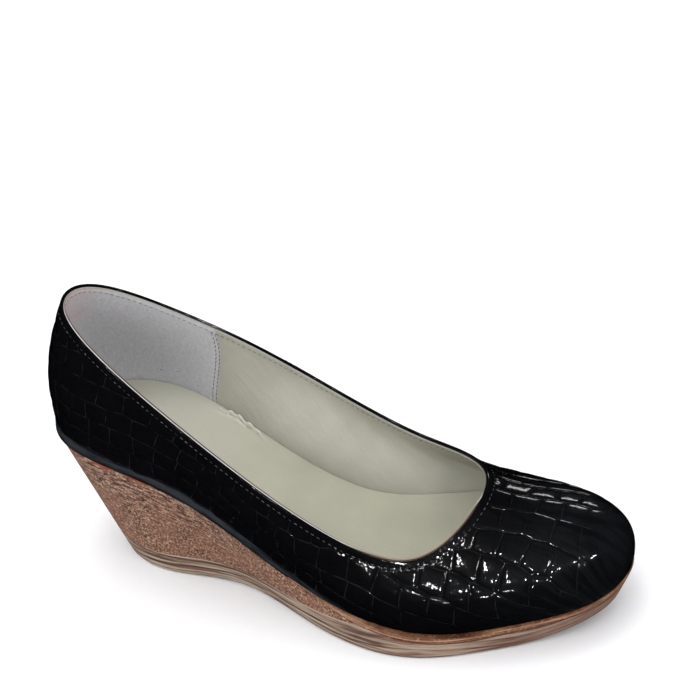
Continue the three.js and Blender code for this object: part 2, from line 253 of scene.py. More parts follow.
# One mesh object from points in millimetres, with its UV corners and its named values for points and corners.
def makePiece(name, points, faces, materials, node=None, uv=None, values=None, cornerValues=None,
              bend=None, picks=None):
    mesh = bpy.data.meshes.new(name)
    mesh.from_pydata((points.reshape(-1, 3) + shift) / 1000, [], faces)
    mesh.polygons.foreach_set("use_smooth", np.ones(len(mesh.polygons), bool))
    if uv is not None:
        mesh.uv_layers.new(name="skin").data.foreach_set("uv", np.asarray(uv, np.float32).ravel())
    for domain, named in (("POINT", values), ("CORNER", cornerValues)):
        for key, value in (named or {}).items():
            value = np.asarray(value, np.float32).ravel()
            mesh.attributes.new(key, "FLOAT", domain).data.foreach_set("value", value)
    for material in materials:
        mesh.materials.append(material)
    if picks is not None:
        mesh.polygons.foreach_set("material_index", picks)
    if bend:
        mesh.set_sharp_from_angle(angle=np.radians(bend))
    mesh.update()
    piece = addObject(name, mesh)
    if node:
        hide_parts(node)
    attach(piece, "root")
    return piece


# A node with its inputs set or linked by name.
def addNode(tree, kind, inputs=None, **settings):
    node = tree.nodes.new("ShaderNode" + kind)
    for key, value in settings.items():
        setattr(node, key, value)
    for key, value in (inputs or {}).items():
        if isinstance(value, bpy.types.NodeSocket):
            tree.links.new(value, node.inputs[key])
        else:
            node.inputs[key].default_value = value
    return node


# A material with its shader; sockets are set on the shader itself.
def makeMaterial(name, sockets):
    material = bpy.data.materials.new(name)
    material.use_nodes = True
    tree = material.node_tree
    shader = tree.nodes["Principled BSDF"]
    for key, value in sockets.items():
        shader.inputs[key].default_value = value
    return material, tree, shader


# A colour and a normal joined to the shader.
def dress(tree, shader, colour, normal):
    tree.links.new(colour, shader.inputs["Base Color"])
    tree.links.new(normal, shader.inputs["Normal"])


# The piece's own coordinates, its UV map and its named values
def ownPlace(tree):
    return addNode(tree, "TexCoord").outputs["Object"]


def skinPlace(tree):
    return addNode(tree, "UVMap", uv_map="skin").outputs[0]


def namedValue(tree, name):
    return addNode(tree, "Attribute", attribute_name=name).outputs["Fac"]


def axisOf(tree, coordinates, axis):
    return addNode(tree, "SeparateXYZ", {"Vector": coordinates}).outputs[axis]


# How far a value is from low to high, told from start to end.
def shareOf(tree, value, low, high, start=0.0, end=1.0, **settings):
    sockets = {"Value": value, "From Min": low, "From Max": high, "To Min": start, "To Max": end}
    return addNode(tree, "MapRange", sockets, **settings).outputs[0]


# Noise on any coordinates, stretched by a scale along each axis.
def noise(tree, coordinates, stretch, detail=2.0, roughness=0.5, distortion=0.0):
    mapped = addNode(tree, "Mapping", {"Vector": coordinates, "Scale": stretch}).outputs[0]
    sockets = {"Vector": mapped, "Scale": 1.0, "Detail": detail, "Roughness": roughness, "Distortion": distortion}
    return addNode(tree, "TexNoise", sockets).outputs["Fac"]


# A value through a ramp of (place, colour) stops.
def ramp(tree, value, stops):
    node = addNode(tree, "ValToRGB", {"Fac": value})
    elements = node.color_ramp.elements
    while len(elements) < len(stops):
        elements.new(0.5)
    for element, (place, colour) in zip(elements, stops):
        element.position = place
        element.color = (colour,) * 3 + (1,) if isinstance(colour, float) else (*colour, 1)
    return node.outputs["Color"]


def mixColour(tree, factor, first, second, blend="MIX"):
    node = addNode(tree, "Mix", data_type="RGBA", blend_type=blend)
    for index, value in ((0, factor), (6, first), (7, second)):
        if isinstance(value, bpy.types.NodeSocket):
            tree.links.new(value, node.inputs[index])
        elif index == 0:
            node.inputs[0].default_value = value
        else:
            node.inputs[index].default_value = (*value, 1)
    return node.outputs[2]


def math(tree, operation, first, second=0.0):
    node = addNode(tree, "Math", operation=operation)
    for index, value in enumerate((first, second)):
        if isinstance(value, bpy.types.NodeSocket):
            tree.links.new(value, node.inputs[index])
        else:
            node.inputs[index].default_value = value
    return node.outputs[0]


def bump(tree, height, strength, distance, normal=None):
    sockets = {"Height": height, "Strength": strength, "Distance": distance}
    if normal is not None:
        sockets["Normal"] = normal
    return addNode(tree, "Bump", sockets).outputs[0]


# The camera of the photograph, from a fit to both shoes' outlines: it looks at a target, turned by azimuth
# to the toe and raised by elevation, rolled, and stands distance away with the target off the centre.
view = {
    "target": (120.0, 0.0, 42.5), "azimuth": 27.39313, "elevation": 30.68596, "roll": -7.38219,
    "aside": (-12.24201, -55.00894), "distance": 464.58638, "focalPixels": 1130.12678, "framePixels": 700,
}


# Right, up and back axes from the three angles; the place is the target less the offsets along them.
def makeCamera():
    a, e, r = (np.radians(view[key]) for key in ("azimuth", "elevation", "roll"))
    back = np.array([np.sin(a) * np.cos(e), -np.cos(a) * np.cos(e), np.sin(e)])
    right = np.array([np.cos(a), np.sin(a), 0])
    up = np.cross(back, right)
    right, up = np.cos(r) * right + np.sin(r) * up, np.cos(r) * up - np.sin(r) * right
    x, y = view["aside"]
    place = (np.array(view["target"]) + shift - x * right - y * up + view["distance"] * back) / 1000
    data = bpy.data.cameras.new("camera")
    data.sensor_width = 36
    data.lens = view["focalPixels"] / view["framePixels"] * data.sensor_width
    data.clip_start = 0.01
    camera = addObject("camera", data)
    camera.matrix_world = turnedTo(right, up, back, place)
    bpy.context.scene.camera = camera


makeCamera()
print("camera placed")

# Patent leather embossed with scales
patent = {
    "columns": 940, "wallRows": 90, "foldRows": 10,
    "skirtHeight": 11, "skirtPower": 2.3, "skirtTurns": (80, 112), "skirtProud": 0.6,
    "tuckDepth": 0.7, "tuckHeight": 1.6, "hem": 0.6,
    "foldHeight": (0.5, 1.1), "linerEdge": (0.95, 0.5), "linerProud": (0.25, 0.0),  # lateral, medial
    "throatEdge": 0.35, "throatProud": 0.85,
    "seamAtTopline": 285.5, "seamAtFeather": 289.0, "seamStep": 0.7, "seamFade": 16, "seamUnder": 0.045,
    "scaleLength": 9.8, "rowPitch": (0, 10, 20, 30, 39.5, 48, 56, 63.8, 71.4, 79), "rowHeight": 8.5,
    "squash": 0.5, "stagger": 0.5, "jitter": 0.3, "rowJitter": 0.06,
    "scaleProud": 0.26, "shoulder": 1.5, "tip": 0.045, "rounding": 3.2, "grooveDepth": 0.05,
    "smoothEdge": (3.0, 10.5), "smoothFrom": (150, 175), "smoothToe": 238, "toeJitter": 14, "toeFade": (222, 243),
    "sideToVamp": (80, 118), "vampStart": 14, "askew": 0.45, "askewTurns": (95, 140), "askewGirth": 50,
    # Where the painted reflection of the pale floor lies on the low band, and the painted sheen over the toe
    "reflectionEnd": (140, 158), "reflectionCross": (92, 156), "reflectionHeight": 14, "toeSheen": 0.1, "toeSheenX": (190, 225),
    "binding": (3.2, 4.2), "bindingProud": 0.15,
    "stitchPitch": 2.5, "stitchDrop": 2.6, "stitchDitch": 0.22, "ditchWidth": 0.5, "pucker": 0.45,
    "seamRows": (1.4, 4.0), "seamRadian": 117,  # millimetres of the face in one radian of turn at the seam
    "girth": ((0, 72), (122, 72), (140, 70.5), (156, 67.5), (189, 59), (205, 51), (220, 40), (232, 27), (245, 8)),
}
seamMiddle = np.radians((patent["seamAtTopline"] + patent["seamAtFeather"]) / 2)
scaleMetric = np.array([patent["squash"] * patent["scaleLength"], patent["rowHeight"]])


# Turns near the medial seam lean with it: the seam's own angle changes evenly with height.
def slanted(turn, height):
    away = (turn - seamMiddle + np.pi) % fullTurn - np.pi
    slant = np.radians(patent["seamAtTopline"] - patent["seamAtFeather"]) * (height - 0.5)
    return turn + slant * np.exp(-(away / 0.5) ** 2)


# The front part lies over the back part: its lift fades with distance ahead of the seam and near the topline.
def seamLift(turn, height):
    ahead = (seamMiddle - turn) % fullTurn
    lift = patent["seamStep"] * np.exp(-ahead * last["featherLength"] / 2 / patent["seamFade"])
    return lift * (1 - 0.7 * ease(height, 0.75, 1))


# From the lateral to the medial value of a pair, past the heel and the throat.
def sideOf(turn, pair):
    share = ease(-np.sin(turn - 0.2), -0.3, 0.3)
    return pair[0] * (1 - share) + pair[1] * share


# 1 at the lateral side of the throat, where the liner's edge is wider and stands prouder.
def throatShare(turn):
    return ease(turn % fullTurn, 1.85, 2.15) * (1 - ease(turn % fullTurn, 2.95, 3.2))


def edgeWidth(turn):
    return sideOf(turn, patent["linerEdge"]) + patent["throatEdge"] * throatShare(turn)


def edgeProud(turn):
    return sideOf(turn, patent["linerProud"]) + patent["throatProud"] * throatShare(turn)


# At the heel and the waist the upper's lower edge is pulled out and down over the rand, by a power of the
# nearness to the edge; from the ball on it only rounds in under itself, by a quarter of an ellipse.
def skirt(turn, points, wallUp):
    angle = fromHeel(turn)
    share = (1 - ease(angle, *np.radians(patent["skirtTurns"])))[..., None]
    edge = soleSide(turn[0], randDepth(turn[0])) + outward(feather, turn[0]) * patent["skirtProud"]
    near = np.maximum(0, 1 - wallUp / patent["skirtHeight"])[..., None] ** patent["skirtPower"]
    inside = np.maximum(0, 1 - wallUp / patent["tuckHeight"])
    tuck = patent["tuckDepth"] * (1 - np.sqrt(np.maximum(0, 1 - inside ** 2)))
    return share * near * (edge - points[0]) - (1 - share) * outward(feather, turn) * tuck[..., None]


# A repeatable number from 0 to 1 for each pair of whole numbers.
def chance(i, j, seed):
    value = np.sin(i * 127.1 + j * 311.7 + seed * 74.7) * 43758.5453
    return value - np.floor(value)


# Length and girth counted in scales: rows run along the shoe, one of them on the middle line, and wander a
# little by sines of both.
def countScales(length, girth):
    pitch = np.array(patent["rowPitch"], float)
    row = 0.5 + np.sign(girth) * np.interp(np.abs(girth), pitch, np.arange(len(pitch)))
    row = row + 0.06 * np.sin(length / 13 + girth / 21) + 0.035 * np.sin(length / 5.3 - girth / 9)
    return np.stack([length / patent["scaleLength"] + 0.06 * np.sin(girth / 6.1 + length / 17), row], -1)


# The seeds of the nine scales round a spot, one for each step of length and row. Each row is staggered and
# each seed jittered by a chance of its own. A second chance tips each scale.
def scaleSeeds(spot):
    seeds, tips = [], []
    for dj in (-1, 0, 1):
        j = np.floor(spot[..., 1]) + dj
        stagger = 0.5 * (j % 2) + patent["stagger"] * (chance(j, 0, 5) - 0.5)
        for di in (-1, 0, 1):
            i = np.floor(spot[..., 0] - stagger) + di
            along = i + 0.5 + stagger + patent["jitter"] * (chance(i, j, 1) - 0.5)
            row = j + 0.5 + patent["rowJitter"] * (chance(i, j, 2) - 0.5)
            seeds.append(np.stack([along, row], -1))
            tips.append(np.stack([chance(i, j, 3), chance(i, j, 4)], -1) - 0.5)
    return np.stack(seeds), np.stack(tips)


# Scales are left out where their seed lies too low on the wall, or past a ragged line near the tip of the toe.
def isShown(seed, spot, place):
    x, wallUp = place[..., 0] + (seed[..., 0] - spot[..., 0]) * patent["scaleLength"], place[..., 1]
    pitch = patent["rowPitch"]
    low, high = (np.interp(np.abs(part[..., 1] - 0.5), np.arange(len(pitch)), pitch) for part in (seed, spot))
    least = patent["smoothEdge"][0] + np.diff(patent["smoothEdge"])[0] * ease(x, *patent["smoothFrom"])
    toe = patent["smoothToe"] + patent["toeJitter"] * (chance(np.floor(seed[..., 0]), np.floor(seed[..., 1]), 6) - 0.5)
    return (wallUp + high - low > least) & (x < toe)


# How far spots lie inside a scale's border with another: the border is halfway between both seeds, square to
# the line that joins them in the squashed measure, and the distance is stretched back to millimetres.
def insideBorder(spot, own, other):
    between = (other - own) * scaleMetric
    span = np.linalg.norm(between, axis=-1)
    normal = between / np.maximum(span, 1e-6)[..., None]
    apart = np.sum(((other + own) / 2 - spot) * scaleMetric * normal, -1)
    stretch = np.sqrt((normal[..., 0] * patent["squash"]) ** 2 + normal[..., 1] ** 2)
    return np.where(span > 1e-6, apart / np.maximum(stretch, 1e-6), 1e3)


# The relief of a scale: it rises from its border by an exponential of the distance and is tipped by a slope
# times the offset from its seed. The exponential sum of the distances rounds the corners. Scales that are
# left out stay smooth and take a painted reflection of the pale floor instead, more so away from the shown ones.
def scaleRelief(spot, place):
    seeds, tips = scaleSeeds(spot)
    offsets = (seeds - spot) * scaleMetric
    nearest = np.linalg.norm(offsets, axis=-1).argmin(0)[None, ..., None]
    own, slope, offset = (np.take_along_axis(part, nearest, 0)[0] for part in (seeds, tips, offsets))
    inside = np.stack([insideBorder(spot, own, seed) for seed in seeds])
    border = np.maximum(0, -np.log(np.exp(-patent["rounding"] * inside).sum(0) + 1e-9) / patent["rounding"])
    rise = patent["scaleProud"] * (1 - np.exp(-border / patent["shoulder"]))
    rise = rise + patent["tip"] * np.sum(slope * offset, -1)
    others = np.stack([isShown(seed, spot, place) for seed in seeds])
    paintedReflection = ease(np.where(others, inside, 9).min(0), 0.35, 1.2)
    shown = isShown(own, spot, place)
    return shown * (rise - patent["grooveDepth"] * np.exp(-(border / 0.5) ** 2)), ~shown * paintedReflection


# For the fine grooves each quad keeps the two borders nearest to its middle, as distances at its corners,
# and drops a border between two scales that are left out, but not at the waist.
def nearBorders(spot, place, faces):
    corners, middle, at = spot[faces], spot[faces].mean(1), place[faces].mean(1)
    seeds, _ = scaleSeeds(middle)
    nearest = np.linalg.norm((seeds - middle) * scaleMetric, axis=-1).argmin(0)[None, :, None]
    own = np.take_along_axis(seeds, nearest, 0)[0]
    order = np.argsort(np.stack([insideBorder(middle, own, seed) for seed in seeds]), 0)
    marks = []
    waist = (at[:, 0] > patent["reflectionCross"][0]) & (at[:, 0] < patent["reflectionCross"][1])
    for near in order[:2]:
        other = np.take_along_axis(seeds, near[None, :, None], 0)[0]
        shown = isShown(own, middle, at) | isShown(other, middle, at) | waist
        marks.append(np.where(shown[:, None], insideBorder(corners, own[:, None], other[:, None]), 9))
    return marks


# Where a spot of the face lies on the flat skin. Along the sides the length is that of the feather line and
# the girth is measured up the wall; over the vamp the length is x and the girth is the angle round an oval
# section. The two are blended from the waist to the ball. On the medial front the skin lies askew.
def flatSkin(turn, points):
    angle = fromHeel(turn)
    fine = np.linspace(0, np.pi, 400)
    edges = [feather(fine), feather(fullTurn - fine)]
    lateral = turn % fullTurn <= np.pi
    side = np.where(lateral, *[np.interp(angle, fine, lengthAlong(edge)) for edge in edges])
    side = np.where(turn < fullTurn, -side, side)
    # cross borders stand square to the feather line: each spot's length is that of its foot on the line
    step = unit(feather(turn + 0.01) - feather(turn - 0.01)) * np.where(turn < 1.5 * fullTurn, 1, -1)[..., None]
    side = side + np.sum((points - feather(turn)) * step, -1)
    wallUp = lengthAlong(points.swapaxes(0, 1)).T
    x, y, z = np.moveaxis(points, -1, 0)
    ys = [np.interp(x, edge[:, 0], edge[:, 1]) for edge in edges]
    base = np.interp(x, edges[0][:, 0], edges[0][:, 2])
    ridge = face(np.full(60, np.pi), np.linspace(0, 1, 60))[::-1]
    tall = np.maximum(4, np.interp(x, ridge[:, 0], ridge[:, 2]) - base) + 0.35 * np.maximum(0, ridge[0, 0] - x)
    middle, half = (ys[0] + ys[1]) / 2, np.maximum(6, np.abs(ys[1] - ys[0]) / 2)
    share = np.arctan2(np.maximum(0, z - base) / tall, np.abs(y - middle) / half) / (np.pi / 2)
    reach = np.interp(x, *np.array(patent["girth"], float).T)
    vampGirth = np.sign(y - middle) * reach * (1 - share)
    sideGirth = np.where(turn < 1.5 * fullTurn, -1, 1) * (reach - wallUp)
    over = ease(angle, *np.radians(patent["sideToVamp"]))
    length = side * (1 - over) + (x + patent["vampStart"]) * over
    girth = sideGirth * (1 - over) + vampGirth * over
    askew = patent["askew"] * (turn > 1.5 * fullTurn) * (1 - ease(angle, *np.radians(patent["askewTurns"])))
    return length + askew * (girth - patent["askewGirth"]), girth, wallUp


# The turns of the stitches round the topline, from the seam to the seam.
def stitchTurns():
    start, end = seamMiddle + 0.01, seamMiddle + fullTurn - 0.01
    count = int(lengthAlong(topline(np.linspace(start, end, 2000)))[-1] / patent["stitchPitch"])
    return evenTurns(topline, start, end, count)


# The upper's skin: the face with its scales, the strip along the topline, the stitches' ditches, which swell
# between two stitches by a cosine of their count, and the seam's step.
def makeUpper(materials):
    start, end = seamMiddle - patent["seamUnder"], seamMiddle + fullTurn
    turns = evenTurns(lambda turn: face(turn, np.full_like(turn, 0.5)), start, end, patent["columns"])
    heights = np.concatenate([[0.0, 0.004], np.linspace(0, 1, patent["wallRows"])[1:]])
    turn, height = np.meshgrid(turns, heights)
    place = slanted(turn, height)
    points, normals = face(place, height), faceNormal(place, height)
    length, girth, wallUp = flatSkin(turn, points)
    spot, at = countScales(length, girth), np.stack([points[..., 0], wallUp], -1)
    below = wallUp[-1:] - wallUp
    front = turn > fullTurn
    ahead = np.where(front, (seamMiddle + fullTurn - turn) * patent["seamRadian"], 99)
    relief, paintedReflection = scaleRelief(spot, at)
    fade = ease(below, *patent["binding"]) * (1 - ease(points[..., 0], *patent["toeFade"]))
    relief = fade * relief + patent["bindingProud"] * (1 - ease(below, 2.2, 3.2))
    stitches = stitchTurns()
    beat = np.cos(fullTurn * np.interp(turns, stitches, np.arange(len(stitches))))
    swell = 1 - patent["pucker"] * (1 - beat)
    relief -= patent["stitchDitch"] * np.exp(-((below - patent["stitchDrop"]) / patent["ditchWidth"]) ** 2) * swell
    for row in patent["seamRows"]:
        relief -= patent["stitchDitch"] * np.exp(-((ahead - row) / patent["ditchWidth"]) ** 2)
    lift = seamLift(turn, height) * front
    outer = points + normals * (relief + lift)[..., None] + skirt(turn, points, wallUp)
    # the fold over the topline: half an ellipse, less the liner's edge, and foldHeight tall
    top, topNormal = outer[-1], normals[-1]
    upwards = unit(points[-1] - face(place[-1], np.full_like(turns, 0.96)))
    bend = np.linspace(0, np.pi * 0.93, patent["foldRows"] + 1)[1:, None]
    half = (last["wall"] - edgeWidth(turns) + patent["bindingProud"]) / 2
    fold = (top + topNormal * (half * np.cos(bend) - half)[..., None]
            + upwards * (sideOf(turns, patent["foldHeight"]) * np.sin(bend))[..., None])
    # the lower edge turns in to the sole
    hem = outer[0] - outward(feather, turns) * patent["hem"] + (0, 0, -0.04)
    grid = np.concatenate([hem[None], outer, fold])
    inward = np.concatenate([normals[:1, -1], normals[:, -1], np.repeat(topNormal[-1:], patent["foldRows"], 0)])
    step = unit(grid[:, -1] - grid[:, -2])
    # the front part's edge at the seam turns in to the back part
    edge = [grid[:, -1] + step * along - inward * drop for along, drop in ((0.1, 0.08), (0.16, 0.3), (0.17, 0.65))]
    grid = np.concatenate([grid, np.stack(edge, 1)], 1)
    faces, _ = gridFaces(*grid.shape[:2])
    extra = ((1, patent["foldRows"]), (0, 3))
    skin = np.pad(np.stack([length, girth], -1), (*extra, (0, 0)), mode="edge")
    uv = skin.reshape(-1, 2)[faces.ravel()] / 100
    spot, at = (np.pad(part, (*extra, (0, 0)), mode="edge").reshape(-1, 2) for part in (spot, at))
    borders = nearBorders(spot, at, faces)
    # Painted reflection of the pale floor on the smooth low band: it fades out towards the ball, is weaker in the
    # lowest millimetres and stops high on the wall.
    paintedReflection = paintedReflection * (1 - ease(points[..., 0], *patent["reflectionEnd"])) * (0.45 + 0.55 * ease(wallUp, 0.2, 1.8))
    paintedReflection = paintedReflection * (wallUp < patent["reflectionHeight"])
    # Painted sheen along the low edge round the toe, and a faint painted sheen over the whole toe.
    paintedReflection = paintedReflection + 0.35 * ease(-np.cos(turn), 0.75, 0.95) * np.exp(-(wallUp / 3) ** 2)
    paintedReflection = paintedReflection + patent["toeSheen"] * ease(points[..., 0], *patent["toeSheenX"])
    values = {"grooved": np.pad(fade, extra), "paintedReflection": np.pad(paintedReflection, extra, mode="edge")}
    return makePiece("upperShell", grid, faces, materials, "upper", uv, values,
                     {"borderA": borders[0], "borderB": borders[1]})


# Near-black film over scales. From the two border distances, the least and the middle one of both and 0 give
# the distance to the nearest groove: a + b - greatest - 2 least. The grooves are painted greyer, as painted
# reflection of the light their edges catch, and the surface rises from them by an exponential of the distance.
# A faint waviness breaks up the reflections.
def patentMaterial():
    material, tree, shader = makeMaterial("patentLeather", {
        "Roughness": 0.3, "Specular IOR Level": 0.015, "Coat Weight": 0.8, "Coat Roughness": 0.055, "Coat IOR": 1.33,
    })
    a, b, grooved, paintedReflection = (namedValue(tree, name) for name in ("borderA", "borderB", "grooved", "paintedReflection"))
    least = math(tree, "MINIMUM", math(tree, "MINIMUM", a, b), 0.0)
    greatest = math(tree, "MAXIMUM", math(tree, "MAXIMUM", a, b), 0.0)
    distance = math(tree, "SUBTRACT", math(tree, "ADD", a, b), greatest)
    distance = math(tree, "SUBTRACT", distance, math(tree, "MULTIPLY", least, 2.0))
    grooveSheen = math(tree, "MULTIPLY", ramp(tree, distance, ((0.06, 1.0), (0.28, 0.0))), grooved)
    spot = ownPlace(tree)
    tint = noise(tree, spot, (140, 140, 140), 3)
    film = mixColour(tree, tint, (0.0014, 0.0015, 0.0017), (0.003, 0.0031, 0.0038))
    skin = skinPlace(tree)
    # Painted reflection of the pale floor and painted sheen, in patches along the skin, mixed over the film where the
    # mask says.
    tones = ramp(tree, noise(tree, skin, (5, 38, 1), 3, 0.6), ((0.43, 0.25), (0.57, 1.0)))
    film = mixColour(tree, math(tree, "MULTIPLY", paintedReflection, tones), film, (0.026, 0.031, 0.036))
    # Painted reflection in the grooves: a greyer line, broken into patches.
    broken = ramp(tree, noise(tree, spot, (230, 230, 230), 3), ((0.4, 0.12), (0.6, 1.0)))
    line = math(tree, "MULTIPLY", grooveSheen, broken)
    colour = mixColour(tree, line, film, (0.0115, 0.0115, 0.0125))
    shoulder = math(tree, "EXPONENT", math(tree, "MULTIPLY", distance, -2.2))
    height = math(tree, "SUBTRACT", 1.0, math(tree, "MULTIPLY", shoulder, grooved))
    wave = noise(tree, spot, (330, 330, 330), 3)
    grain = noise(tree, spot, (2600, 2600, 2600), 2)
    coat = bump(tree, wave, 0.3, 0.0003, bump(tree, height, 1.0, 0.00022))
    dress(tree, shader, colour, bump(tree, grain, 0.04, 0.0001, coat))
    tree.links.new(coat, shader.inputs["Coat Normal"])
    return material


makeUpper([patentMaterial()])
print("upper shell made")

# Lining of soft leather, with a suede grip round the heel
lining = {
    "columns": 560, "rows": 60, "edgeRows": 9, "wrinkle": 0.3,
    "featherRound": 560, "gripSize": (80, 45), "gripTurn": 59.4, "gripDraw": 3.4, "gripProud": 0.3,
    "gripRows": 48, "gripColumns": 240,
}


# The wall's inner face: the outer face moved in by a distance, square to it, but level near the footbed.
def innerFace(turn, height, distance):
    turn, height = np.broadcast_arrays(turn, height)
    distance = np.broadcast_to(distance, turn.shape)
    blend = np.minimum(1, height / 0.12)
    inwards = unit(outward(feather, turn) * (1 - blend)[..., None] + faceNormal(turn, height) * blend[..., None])
    point = face(turn, height) - inwards * distance[..., None]
    point[..., 2] += (1 - blend) * (footbed(turn, -distance)[..., 2] - feather(turn)[..., 2])
    return point


# Folds in the leather: waves across a slanted direction, strong at the waist and fading to both ends.
def wrinkles(turn, height):
    angle = fromHeel(turn)
    waist = np.exp(-((angle - 1.75) / 0.55) ** 2) * np.sin(np.pi * np.clip(height, 0, 1))
    waves = np.sin(34 * angle + 9 * height) + 0.6 * np.sin(57 * angle - 13 * height + 1)
    return lining["wrinkle"] * waist * waves * np.where(turn % fullTurn > np.pi, 1, 0.5)


# The liner's cut edge is a small half circle beside the fold, from under it to the inner face. Its outer
# part is painted white as light on its lit top, its inner part painted brown as shade, and on the lateral side
# of the throat all of it is painted tan as the edge in shade.
def makeLining(materials):
    turns = evenTurns(lambda turn: face(turn, np.full_like(turn, 0.5)), 0, fullTurn, lining["columns"] + 1)[:-1]
    heights = np.linspace(1, 0, lining["rows"])
    turn, height = np.meshgrid(turns, heights)
    place = slanted(turn, height)
    inner = innerFace(place, height, last["wall"] - wrinkles(place, height) * 0.5)
    top, topNormal = face(place[0], height[0]), faceNormal(place[0], height[0])
    upwards = unit(top - face(place[0], np.full_like(place[0], 0.96)))
    round_ = np.linspace(0, np.pi, lining["edgeRows"] + 1)[:-1, None]
    half = edgeWidth(turns)[:, None] / 2 + 0.05
    edge = (top - topNormal * (last["wall"] - half) + topNormal * half * np.cos(round_)[..., None]
            + upwards * (half * 0.9 * np.sin(round_)[..., None] + edgeProud(turns)[:, None]))
    grid = np.concatenate([edge, inner])
    faces, corners = gridFaces(grid.shape[0], grid.shape[1], closed=True)
    lengths = np.append(lengthAlong(feather(turns)), lining["featherRound"])
    up = np.concatenate([np.linspace(-1, 0, lining["edgeRows"]), lengthAlong(inner[:, 0])])
    uv = np.stack([lengths[corners[..., 1]], up[corners[..., 0]]], -1) / 100
    throat = throatShare(turns)[None] * np.ones_like(round_)
    # Painted light on the lit top of the edge, painted shade on its inner side and over the throat's edge.
    paintedLitEdge = (1 - ease(round_, 0.65, 0.85)) * (1 - throat)
    paintedEdgeShade = ease(round_, 0.65, 0.85) * sideOf(turns, (1, 0.2)) * (1 - throat)
    rest = ((0, lining["rows"]), (0, 0))
    values = {"paintedLitEdge": np.pad(paintedLitEdge, rest), "paintedEdgeShade": np.pad(paintedEdgeShade, rest), "tan": np.pad(throat, rest)}
    return makePiece("lining", grid, faces, materials, None, uv, values)


# The grip's half width in turn shrinks with the square of the height.
def gripReach(height):
    return np.radians(lining["gripTurn"] - lining["gripDraw"] * height ** 2)


# The grip covers the heel up to the topline and thins out to nothing at its edges.
def makeGrip(materials):
    height, share = np.meshgrid(np.linspace(0.995, 0.02, lining["gripRows"]),
                                np.linspace(-1, 1, lining["gripColumns"]), indexing="ij")
    turn = (share * gripReach(height)) % fullTurn
    thin = np.minimum(1, (1 - np.abs(share)) / 0.012) ** 0.5
    thin = thin * np.minimum(1, height / 0.05) * np.minimum(1, (1 - height) / 0.03)
    grid = innerFace(turn, height, last["wall"] + lining["gripProud"] * thin)
    faces, _ = gridFaces(*grid.shape[:2])
    lengths = np.stack([share, height], -1) * lining["gripSize"]
    uv = (lengths.reshape(-1, 2) / 100)[faces.ravel()]
    return makePiece("heelGrip", grid, faces[:, ::-1], materials, None, uv)


# Cream leather: fine pores, faint clouds of tone and slanted folds at the waist. Some points take other tones
# by values of their own.
def creamMaterial(name, low, high, tones, folded=0.0):
    material, tree, shader = makeMaterial(name, {
        "Roughness": 0.62, "Specular IOR Level": 0.3, "Sheen Weight": 0.05, "Sheen Roughness": 0.5,
    })
    spot = ownPlace(tree)
    clouds = noise(tree, spot, (35, 35, 35), 4)
    colour = ramp(tree, clouds, ((0.3, low), (0.7, high)))
    for value, tone in tones:
        colour = mixColour(tree, namedValue(tree, value), colour, tone)
    pores = addNode(tree, "TexVoronoi", {"Vector": spot, "Scale": 1500.0}).outputs["Distance"]
    creases = noise(tree, spot, (180, 420, 180), 4)
    normal = bump(tree, pores, 0.25, 0.0002, bump(tree, creases, 0.35, 0.0006))
    if folded:
        waist = shareOf(tree, axisOf(tree, spot, "X"), -0.07, 0.05)
        turned = addNode(tree, "Mapping", {"Vector": spot, "Rotation": (0.0, 0.7, 0.0)}).outputs[0]
        folds = math(tree, "MULTIPLY", noise(tree, turned, (420, 60, 60), 3),
                     ramp(tree, waist, ((0.0, 0.0), (0.15, 1.0), (0.4, 0.6), (1.0, 0.0))))
        normal = bump(tree, folds, folded, 0.0008, normal)
    dress(tree, shader, colour, normal)
    return material


# Grey suede with a nap of short fibres, faint pink stains high at the back, and small
# dark specks.
def gripMaterial():
    material, tree, shader = makeMaterial("gripSuede", {
        "Roughness": 0.95, "Specular IOR Level": 0.1, "Sheen Weight": 0.15, "Sheen Roughness": 0.6,
    })
    spot = ownPlace(tree)
    nap = noise(tree, spot, (900, 900, 600), 5, 0.7)
    clouds = noise(tree, spot, (60, 60, 60), 4)
    colour = ramp(tree, nap, ((0.3, (0.42, 0.415, 0.43)), (0.7, (0.56, 0.555, 0.575))))
    back = shareOf(tree, axisOf(tree, spot, "X"), -0.094, -0.106)
    high = shareOf(tree, axisOf(tree, spot, "Z"), 0.098, 0.106)
    back = math(tree, "MULTIPLY", back, high)
    blotch = math(tree, "MULTIPLY", ramp(tree, clouds, ((0.36, 0.0), (0.58, 0.7))), back)
    colour = mixColour(tree, blotch, colour, (0.54, 0.39, 0.40))
    specks = noise(tree, spot, (420, 420, 420), 2)
    colour = mixColour(tree, ramp(tree, specks, ((0.735, 0.0), (0.77, 0.8))), colour, (0.07, 0.06, 0.055))
    dress(tree, shader, colour, bump(tree, nap, 0.35, 0.0003))
    return material


# Painted light on the liner's lit edge, painted shade on its inner side and at the throat.
makeLining([creamMaterial("liningLeather", (0.38, 0.372, 0.312), (0.435, 0.427, 0.36), (
    ("paintedLitEdge", (0.66, 0.65, 0.63)), ("paintedEdgeShade", (0.055, 0.032, 0.02)), ("tan", (0.24, 0.18, 0.12))), 0.5)])
makeGrip([gripMaterial()])
print("lining and grip made")

# Insole: a thin padded sock on the footbed
sock = {
    "stations": 300, "across": 60, "thickness": 2.4, "inset": 2.06, "edgeRound": 1.1, "dish": 0.7,
    "cup": 9.0, "cupWidth": 12.0, "cupX": (125, 185),
    "creaseX": 73.5, "creaseInside": 1.2, "creaseLength": 10.5, "creaseHeight": 1.7,
}


